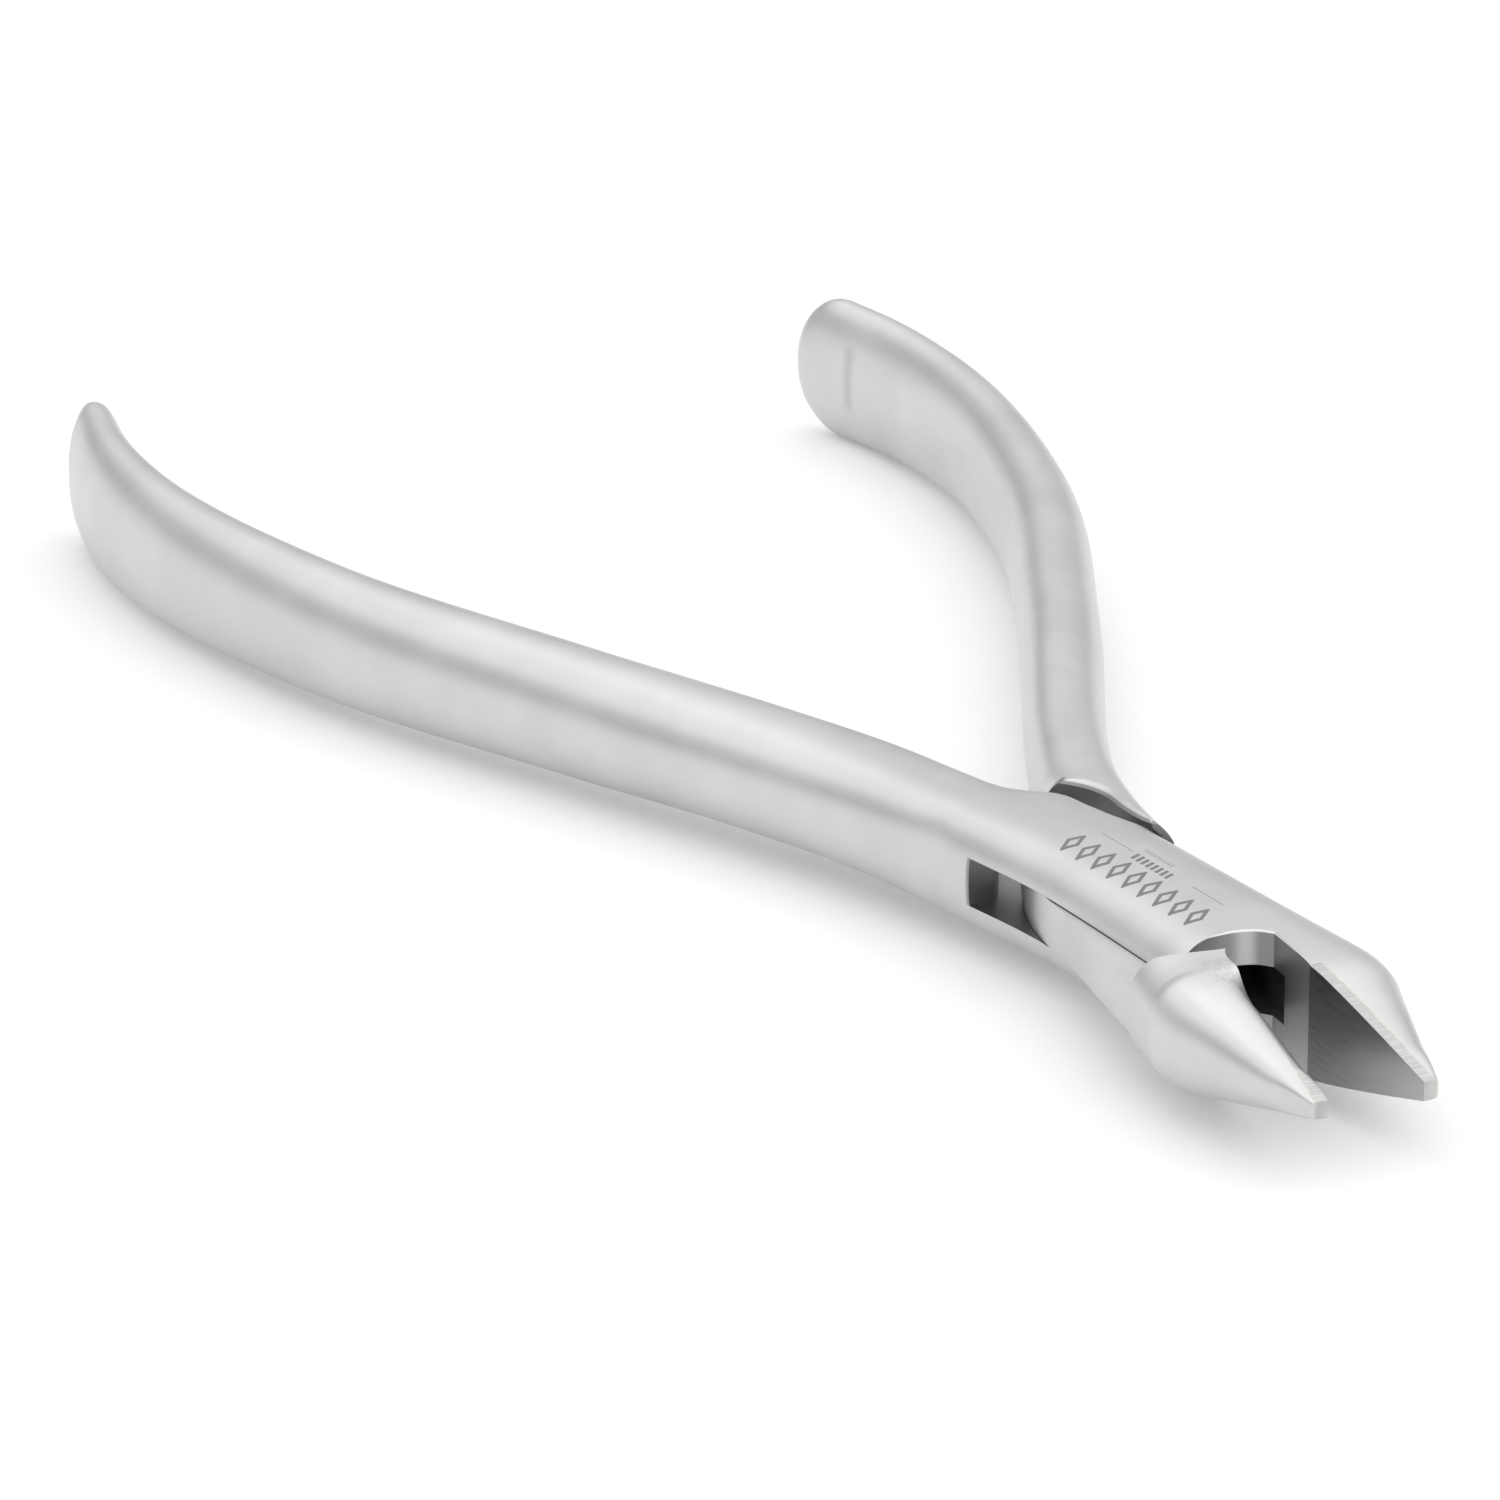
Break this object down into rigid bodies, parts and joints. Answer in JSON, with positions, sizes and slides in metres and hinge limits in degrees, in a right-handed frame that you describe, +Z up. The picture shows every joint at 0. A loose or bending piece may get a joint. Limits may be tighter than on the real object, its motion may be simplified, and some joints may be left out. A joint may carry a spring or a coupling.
{
  "type": "nippers",
  "caption": "Satin steel box-joint nippers with bowed handles, a flush rivet and short tapered jaws faced with brazed hard-metal blades.",
  "frame": {"origin": "centre of the tool's plan box at its lowest point, with the tool lying on its side at rest", "axes": "+X along the tool towards the jaw tips, +Y towards the handle of the tongue half, +Z up along the rivet"},
  "size_m": [0.1298, 0.061, 0.0096],
  "materials": {
    "satin_steel": "satin, fine bead and belt finish",
    "rivet_steel": "ground flush, satin",
    "carbide": "lapped, with fine cross grinding on its edge",
    "silver_braze": "dull metal"
  },
  "bodies": {
    "box_side": {"box_half": "satin_steel", "pivot_rivet": "rivet_steel", "box_jaw_blade": "carbide", "box_jaw_braze": "silver_braze"},
    "tongue_side": {"tongue_half": "satin_steel", "tongue_jaw_blade": "carbide", "tongue_jaw_braze": "silver_braze"}
  },
  "joints": [
    {"name": "pivot", "type": "hinge", "parent": "box_side", "child": "tongue_side", "pos_m": [0.03546, 0, 0.0048], "axis": [0, 0, 1], "range_deg": [-12, 11.2]}
  ]
}
